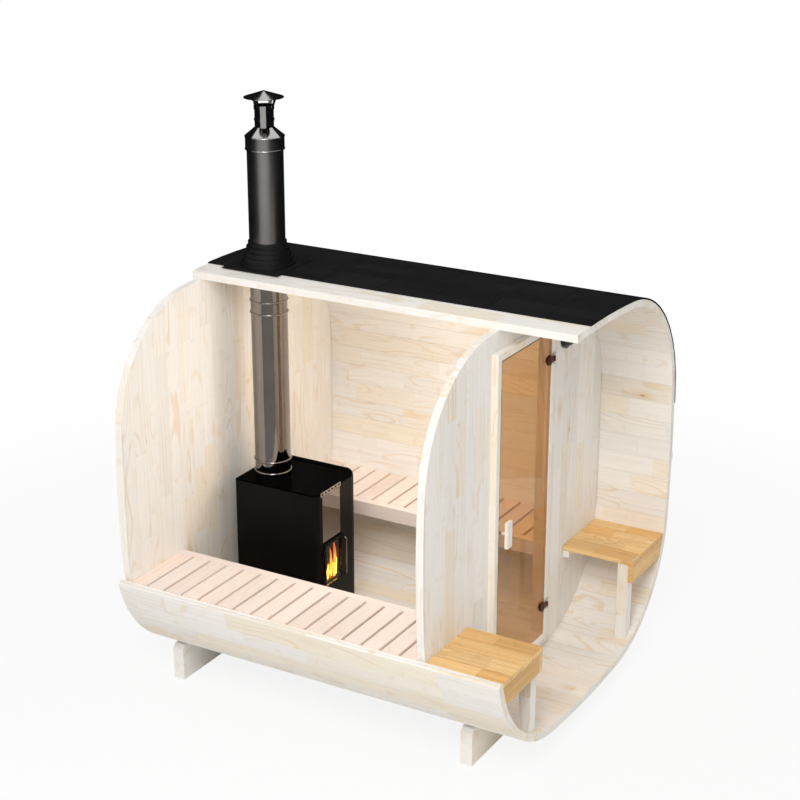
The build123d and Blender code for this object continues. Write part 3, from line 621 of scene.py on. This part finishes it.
SPRUCE_WOOD = {grain: wood("spruce_" + grain.lower(), SPRUCE, grain) for grain in "XYZ"}
ALDER_WOOD = {grain: wood("alder_" + grain.lower(), ALDER, grain) for grain in "XY"}
PINE_WOOD = {grain: wood("pine_" + grain.lower(), PINE, grain) for grain in "XY"}
HANDLE_WOOD = {grain: wood("handle_" + grain.lower(), CLEAR_SPRUCE, grain) for grain in "Z"}
ROOF_FELT = felt("roof_felt", (0.0115, 0.0115, 0.012))
BOOT_RUBBER = paint("boot_rubber", (0.009, 0.009, 0.009), rough=0.45, specular=0.22)
STAINLESS = steel("stainless", (0.52, 0.51, 0.50), rough=0.10, brush=0.02)
FLUE_STAINLESS = steel("flue_stainless", (0.285, 0.265, 0.250), rough=0.06, brush=0.02)
DARK_STAINLESS = steel("dark_stainless", (0.235, 0.23, 0.226), rough=0.34, brush=0.02, bump=0.06)
MIRROR_STEEL = steel("mirror_steel", (0.30, 0.27, 0.24), rough=0.05, brush=0.6)
CHROME = steel("chrome", (0.20, 0.19, 0.18), rough=0.10, brush=0.5)
GRILLE_STEEL = steel("grille_steel", (0.50, 0.49, 0.47), rough=0.35, brush=0.5)
STOVE_BLACK = paint("stove_black", (0.0035, 0.003, 0.003), rough=0.42, specular=0.10)
STOVE_GLOSS = paint("stove_gloss", (0.001, 0.001, 0.001), rough=0.05, specular=0.5, ior=1.03)
HINGE_METAL = paint("hinge_metal", (0.55, 0.52, 0.48), rough=0.32, specular=0.5)
HINGE_DISC = paint("hinge_disc", (0.062, 0.006, 0.003), rough=0.20, specular=0.15)
LAMP_BLACK = paint("lamp_black", (0.010, 0.010, 0.012), rough=0.16, specular=0.5)
BRONZE_GLASS = tinted_glass("bronze_glass", (0.625, 0.418, 0.236))
STOVE_GLASS = tinted_glass("stove_glass", (0.90, 0.86, 0.80))
OUTER_FLAME = flame("outer_flame", foot=0.50, tip=0.68, glow=2.0)
INNER_FLAME = flame("inner_flame", foot=0.56, tip=0.72, glow=3.4)
BURNING_WOOD = burning_wood("burning_wood")

# The CAD nodes that show as they are, by finish
FINISHES = (
    (STAINLESS, ("chimney_top", "rain_cap")),
    (FLUE_STAINLESS, ("flue_pipe",)),
    (DARK_STAINLESS, ("chimney_pipe",)),
    (MIRROR_STEEL, ("stove_front_panel",)),
    (CHROME, ("stove_door_handle",)),
    (STOVE_BLACK, (
        "stove_body", "stove_feet", "stove_heat_shield", "stove_door_hinges", "stove_door_frame",
    )),
    (STOVE_GLOSS, ("stove_top",)),
    (HINGE_METAL, ("door_frame_hinges",)),
    (HINGE_DISC, ("door_hinge_discs", "door_hinge_backs")),
    (LAMP_BLACK, ("porch_lamp",)),
    (BRONZE_GLASS, ("door_glass",)),
    (STOVE_GLASS, ("stove_door_glass",)),
    (BOOT_RUBBER, ("boot_plate", "roof_boot")),
)


def finish_cad():
    """Gives each CAD node that shows as it is its finish."""
    for material, names in FINISHES:
        for name in names:
            nodes[name].data.materials.clear()
            nodes[name].data.materials.append(material)


def merged_copy(node):
    """A node's mesh with shared corners and whole flat faces."""
    source = nodes[node].data
    bm = bmesh.new()
    corners = [bm.verts.new(vertex.co) for vertex in source.vertices]
    for face in source.polygons:
        bm.faces.new([corners[index] for index in face.vertices])
    bmesh.ops.remove_doubles(bm, verts=bm.verts, dist=MERGE)
    bmesh.ops.dissolve_limit(bm, angle_limit=FLAT_ANGLE, verts=bm.verts, edges=bm.edges)
    return bm


def soften(bm, width):
    """Rounds the sharp edges by a small width."""
    bm.normal_update()
    sharp = [e for e in bm.edges if len(e.link_faces) == 2 and e.calc_face_angle() > EDGE_ANGLE]
    bmesh.ops.bevel(
        bm, geom=sharp, offset=width, segments=EDGE_STEPS, profile=EDGE_PROFILE,
        affect="EDGES", clamp_overlap=False,
    )


def add_to(whole, part):
    """Puts one mesh into another and lets it go."""
    held = bpy.data.meshes.new("held")
    part.to_mesh(held)
    part.free()
    whole.from_mesh(held)
    bpy.data.meshes.remove(held)


def new_object(name, bm, material):
    """An object from a bmesh, which is let go."""
    mesh = bpy.data.meshes.new(name)
    bm.to_mesh(mesh)
    bm.free()
    mesh.materials.append(material)
    made = bpy.data.objects.new(name, mesh)
    bpy.context.scene.collection.objects.link(made)
    return made


def piece(name, bm, material, body="sauna", stands_for=()):
    """A finished piece from a bmesh, riding on its body."""
    made = new_object(name, bm, material)
    made.data.shade_smooth()
    made.data.set_sharp_from_angle(angle=SMOOTH_ANGLE)
    made.modifiers.new("even_normals", "WEIGHTED_NORMAL").keep_sharp = True
    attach(made, body)
    if stands_for:
        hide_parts(*stands_for)
    return made


def dress(node, material, width):
    """A wooden node with eased edges."""
    bm = merged_copy(node)
    soften(bm, width)
    return piece(node + "_wood", bm, material, nodes[node]["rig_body"], (node,))


def cut_slab(bm, place, normal):
    """Cuts a closed mesh at a plane, drops what is beyond it and closes the cut."""
    everything = bm.verts[:] + bm.edges[:] + bm.faces[:]
    cut = bmesh.ops.bisect_plane(
        bm, geom=everything, dist=MERGE, plane_co=place, plane_no=normal, clear_outer=True,
    )
    rim = [e for e in cut["geom_cut"] if isinstance(e, bmesh.types.BMEdge)]
    if rim:
        bmesh.ops.edgenet_fill(bm, edges=rim)


def board_wall(node):
    """A wall panel as upright boards with eased joints."""
    lo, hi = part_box(node)
    whole = merged_copy(node)
    boards = bmesh.new()
    right = Vector((1.0, 0.0, 0.0))
    first = math.floor(lo.x / WALL_BOARD)
    for count in range(first, math.ceil(hi.x / WALL_BOARD)):
        board = whole.copy()
        left_edge = count * WALL_BOARD + WALL_JOINT / 2
        right_edge = (count + 1) * WALL_BOARD - WALL_JOINT / 2
        cut_slab(board, Vector((left_edge, 0.0, 0.0)), -right)
        cut_slab(board, Vector((right_edge, 0.0, 0.0)), right)
        add_to(boards, board)
    whole.free()
    soften(boards, WALL_EASE)
    return piece(node + "_boards", boards, SPRUCE_WOOD["Z"], "sauna", (node,))


def dress_wood():
    """All the woodwork."""
    for node in STAVE_NODES:
        dress(node, SPRUCE_WOOD["Y"], STAVE_EASE)
    for node in WALL_NODES:
        board_wall(node)
    for node, grain in SPRUCE_GRAIN.items():
        dress(node, SPRUCE_WOOD[grain], FRAME_EASE)
    for node, grain in BENCH_GRAIN.items():
        dress(node, ALDER_WOOD[grain], BENCH_EASE)
    for node, grain in PORCH_GRAIN.items():
        dress(node, PINE_WOOD[grain], PORCH_EASE)
    for node, grain in HANDLE_GRAIN.items():
        dress(node, HANDLE_WOOD[grain], HANDLE_EASE)


def dress_felt():
    """The felt courses, swelled a little by their mineral grit."""
    bm = merged_copy("roof_felt")
    bm.normal_update()
    for corner in bm.verts:
        corner.co += FELT_SWELL * corner.normal
    soften(bm, FELT_EASE)
    piece("roof_felt_courses", bm, ROOF_FELT, "sauna", ("roof_felt",))


def tube(bm, spine, radii, sides, flat=1.0):
    """A closed skin round a run of points, with a radius at each of them."""
    turns = [2.0 * math.pi * side / sides for side in range(sides)]
    rings = []
    for point, radius in zip(spine, radii):
        ring = [Vector((radius * math.cos(t), flat * radius * math.sin(t), 0.0)) for t in turns]
        rings.append([bm.verts.new(point + offset) for offset in ring])
    for lower, upper in zip(rings, rings[1:]):
        for side in range(sides):
            after = (side + 1) % sides
            bm.faces.new((lower[side], lower[after], upper[after], upper[side]))
    bm.faces.new(rings[0][::-1])
    bm.faces.new(rings[-1])


def tongue(bm, foot, height, width, phase):
    """One tongue of fire that narrows and bends as it rises."""
    shares = [step / TONGUE_STEPS for step in range(TONGUE_STEPS + 1)]
    bends = [TONGUE_SWAY * share * math.sin(phase + TONGUE_TURN * share) for share in shares]
    spine = [foot + Vector((bend, TONGUE_LEAN * bend, height * share)) for bend, share in zip(bends, shares)]
    swells = [math.sin(math.pi * (TONGUE_FOOT + TONGUE_SPAN * share)) for share in shares]
    radii = [0.5 * width * swell ** TONGUE_POWER + TONGUE_TIP for swell in swells]
    tube(bm, spine, radii, TONGUE_SIDES, TONGUE_FLAT)


def fire_set(name, material, row):
    """A row of tongues across the front of the firebox."""
    dice = random.Random(row.seed)
    lo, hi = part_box("stove_door_glass")
    bm = bmesh.new()
    for index in range(row.count):
        share = (index + dice.uniform(*FLAME_JITTER)) / row.count
        x = lo.x + FLAME_MARGIN + share * (hi.x - lo.x - 2.0 * FLAME_MARGIN)
        foot = Vector((x, hi.y + dice.uniform(*FLAME_DEPTHS), lo.z + dice.uniform(*FLAME_FEET)))
        height, width = dice.uniform(*row.heights), dice.uniform(*row.widths)
        tongue(bm, foot, height, width, dice.uniform(*FLAME_PHASES))
    piece(name, bm, material)


def fire_logs():
    """Split logs on the firebox floor."""
    lo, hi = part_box("stove_door_glass")
    dice = random.Random(LOG_SEED)
    bm = bmesh.new()
    for index in range(LOG_COUNT):
        x = lo.x + LOG_FIRST + LOG_PITCH * index
        z = lo.z + LOG_LIFT + LOG_STAGGER * (index % 2)
        spine = [Vector((0.0, 0.0, LOG_STEP * step)) for step in range(LOG_STEPS + 1)]
        radii = [LOG_RADIUS * dice.uniform(*LOG_UNEVEN) for _ in spine]
        log = bmesh.new()
        tube(log, spine, radii, LOG_SIDES)
        turn = Matrix.Rotation(dice.uniform(-LOG_TURN, LOG_TURN), 4, "Y")
        tilt = Matrix.Rotation(LOG_LYING, 4, "X") @ turn
        log.transform(Matrix.Translation((x, hi.y + LOG_BACK, z)) @ tilt)
        add_to(bm, log)
    piece("fire_logs", bm, BURNING_WOOD)


def make_fire():
    """The fire that shows behind the stove's glass."""
    fire_logs()
    fire_set("fire_outer_flames", OUTER_FLAME, OUTER_TONGUES)
    fire_set("fire_inner_flames", INNER_FLAME, INNER_TONGUES)


def pierced_sheet(sides, levels, front, back):
    """A closed upright sheet on a grid, where every second column has a slot between its rails."""
    bm = bmesh.new()
    near, far = [[[bm.verts.new((x, y, z)) for z in levels] for x in sides] for y in (front, back)]
    cells = [(column, row) for column in range(len(sides) - 1) for row in range(len(levels) - 1)]
    solid = [(column, row) for column, row in cells if row != GRILLE_SLOT_ROW or column % 2 == 0]
    for column, row in solid:
        loop = [(column, row), (column + 1, row), (column + 1, row + 1), (column, row + 1)]
        beyond = [(column, row - 1), (column + 1, row), (column, row + 1), (column - 1, row)]
        bm.faces.new([near[x][z] for x, z in loop])
        bm.faces.new([far[x][z] for x, z in reversed(loop)])
        for (x, z), (next_x, next_z), cell in zip(loop, loop[1:] + loop[:1], beyond):
            if cell not in solid:
                bm.faces.new((near[next_x][next_z], near[x][z], far[x][z], far[next_x][next_z]))
    return bm


def stove_grille():
    """The slotted air strip over the stove's front panel."""
    top_lo, top_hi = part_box("stove_top")
    panel_lo, panel_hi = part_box("stove_front_panel")
    left, right = panel_lo.x - GRILLE_REACH, panel_hi.x + GRILLE_REACH
    low, high = panel_hi.z + GRILLE_LIFT, top_hi.z + GRILLE_SHEET
    pitch = (right - left) / GRILLE_SLOTS
    slot_starts = [left + pitch * count + GRILLE_BAR / 2 for count in range(GRILLE_SLOTS)]
    slot_ends = [start + pitch - GRILLE_BAR for start in slot_starts]
    sides = sorted([left, right, *slot_starts, *slot_ends])
    levels = (low, low + GRILLE_RAIL, high - GRILLE_RAIL, high)
    bm = pierced_sheet(sides, levels, top_lo.y - GRILLE_SHEET, top_lo.y)
    piece("stove_air_grille", bm, GRILLE_STEEL)


def hoop(bm, middle, radius, half):
    """A closed round bead about an upright axis."""
    around, across = BEAD_STEPS
    tilts = [2.0 * math.pi * side / across for side in range(across)]
    rings = []
    for step in range(around):
        turn = 2.0 * math.pi * step / around
        out = Vector((math.cos(turn), math.sin(turn), 0.0))
        spots = [out * (radius + half * math.cos(t)) + Vector((0.0, 0.0, half * math.sin(t))) for t in tilts]
        rings.append([bm.verts.new(middle + spot) for spot in spots])
    for step in range(around):
        here, after = rings[step], rings[(step + 1) % around]
        for side in range(across):
            beyond = (side + 1) % across
            bm.faces.new((here[side], after[side], after[beyond], here[beyond]))


def chimney_beads():
    """The rolled beads at the edges of the chimney's top band."""
    lo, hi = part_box("chimney_pipe")
    radius = 0.5 * (hi.x - lo.x) - BEAD_BITE
    bm = bmesh.new()
    for level in (hi.z - BEAD_HALF, hi.z - BEAD_BAND + BEAD_HALF):
        hoop(bm, Vector((0.5 * (lo.x + hi.x), 0.5 * (lo.y + hi.y), level)), radius, BEAD_HALF)
    piece("chimney_beads", bm, STAINLESS, "sauna")


def make_world():
    """White where it is seen or mirrored, and a plain soft level where it lights."""
    world = bpy.data.worlds.new("studio")
    bpy.context.scene.world = world
    world.use_nodes = True
    tree = world.node_tree
    path = tree.nodes.new("ShaderNodeLightPath")
    seen = path.outputs["Is Camera Ray"]
    for ray in ("Is Glossy Ray", "Is Transmission Ray"):
        either = tree.nodes.new("ShaderNodeMath")
        either.operation = "MAXIMUM"
        tree.links.new(seen, either.inputs[0])
        tree.links.new(path.outputs[ray], either.inputs[1])
        seen = either.outputs[0]
    level = tree.nodes.new("ShaderNodeMapRange")
    level.inputs["To Min"].default_value = WORLD_LEVEL
    level.inputs["To Max"].default_value = 1.0
    tree.links.new(seen, level.inputs["Value"])
    background = tree.nodes["Background"]
    background.inputs["Color"].default_value = (1.0, 1.0, 1.0, 1.0)
    tree.links.new(level.outputs[0], background.inputs["Strength"])


def stand(name, bm, material):
    """An object of the set, which isn't part of the sauna."""
    made = new_object(name, bm, material)
    return made


def screen(name, bm, colour):
    """A matt screen that only mirror-like surfaces see."""
    s = Surface(name, colour=colour, rough=1.0, Specular_IOR_Level=0.0)
    made = stand(name, bm, s.material)
    made.visible_camera = False
    made.visible_diffuse = False
    made.visible_shadow = False
    made.visible_transmission = False


def make_flag():
    """The dark screen: it keeps steel and gloss from mirroring white on all sides."""
    start, span = FLAG_OPEN[1], 2.0 * math.pi - (FLAG_OPEN[1] - FLAG_OPEN[0])
    turns = [start + span * step / FLAG_STEPS for step in range(FLAG_STEPS + 1)]
    bm = bmesh.new()
    low, high = [
        [bm.verts.new((FLAG_RADIUS * math.cos(t), FLAG_RADIUS * math.sin(t), level)) for t in turns]
        for level in FLAG_LEVELS
    ]
    for step in range(FLAG_STEPS):
        bm.faces.new((low[step], low[step + 1], high[step + 1], high[step]))
    screen("flag", bm, FLAG_COLOUR)


def make_card():
    """The grey card that darkens the middle of the flue pipe."""
    (front, back), (low, high) = CARD_Y, CARD_Z
    bm = bmesh.new()
    corners = ((front, low), (back, low), (back, high), (front, high))
    bm.faces.new([bm.verts.new((CARD_X, y, z)) for y, z in corners])
    screen("card", bm, CARD_COLOUR)


def make_floor():
    """A pale floor disc that keeps a soft shadow and fades to white."""
    s = Surface("studio_floor", colour=FLOOR_ALBEDO, rough=FLOOR_ROUGH)
    away = s.node("VectorMath", operation="LENGTH")
    s.feed(away, 0, s.place())
    path = s.node("LightPath")
    glow = s.spread(away.outputs["Value"], *FLOOR_FADE, FLOOR_GLOW_NEAR, 1.0)
    s.show(s.math("MULTIPLY", glow, path.outputs["Is Camera Ray"]), s.node("Emission"))
    bm = bmesh.new()
    bmesh.ops.create_circle(bm, cap_ends=True, segments=FLOOR_SIDES, radius=FLOOR_RADIUS)
    stand("floor", bm, s.material).location.z = cad_lo.z - FLOOR_DROP


def make_key():
    """A soft key light over the camera's shoulder."""
    key = bpy.data.lights.new("key", "AREA")
    key.shape = "DISK"
    key.size = KEY_SIZE
    key.energy = KEY_WATTS
    lamp = bpy.data.objects.new("key", key)
    lamp.location = KEY_PLACE
    lamp.rotation_mode = "QUATERNION"
    lamp.rotation_quaternion = (KEY_AIM - KEY_PLACE).to_track_quat("-Z", "Y")
    bpy.context.scene.collection.objects.link(lamp)


def make_room_light():
    """A warm light in the middle of the room, which itself doesn't show."""
    room = bpy.data.lights.new("room_light", "POINT")
    room.energy = ROOM_LIGHT_WATTS
    room.shadow_soft_size = ROOM_LIGHT_RADIUS
    room.color = ROOM_LIGHT_COLOUR
    bulb = bpy.data.objects.new("room_light", room)
    bulb.location = ROOM_LIGHT_PLACE
    bulb.visible_camera = False
    bulb.visible_glossy = False
    bulb.visible_transmission = False
    bpy.context.scene.collection.objects.link(bulb)


def make_camera():
    """The camera at the photo's viewing angle."""
    data = bpy.data.cameras.new("camera")
    data.lens = CAMERA_LENS
    data.sensor_width = CAMERA_SENSOR
    camera = bpy.data.objects.new("camera", data)
    camera.location = CAMERA_PLACE
    camera.rotation_mode = "QUATERNION"
    camera.rotation_quaternion = CAMERA_AIM.to_track_quat("-Z", "Y")
    bpy.context.scene.collection.objects.link(camera)
    bpy.context.scene.camera = camera


bpy.context.scene.view_settings.view_transform = "Standard"
finish_cad()
dress_wood()
dress_felt()
make_fire()
stove_grille()
chimney_beads()
make_world()
make_floor()
make_flag()
make_card()
make_key()
make_room_light()
make_camera()
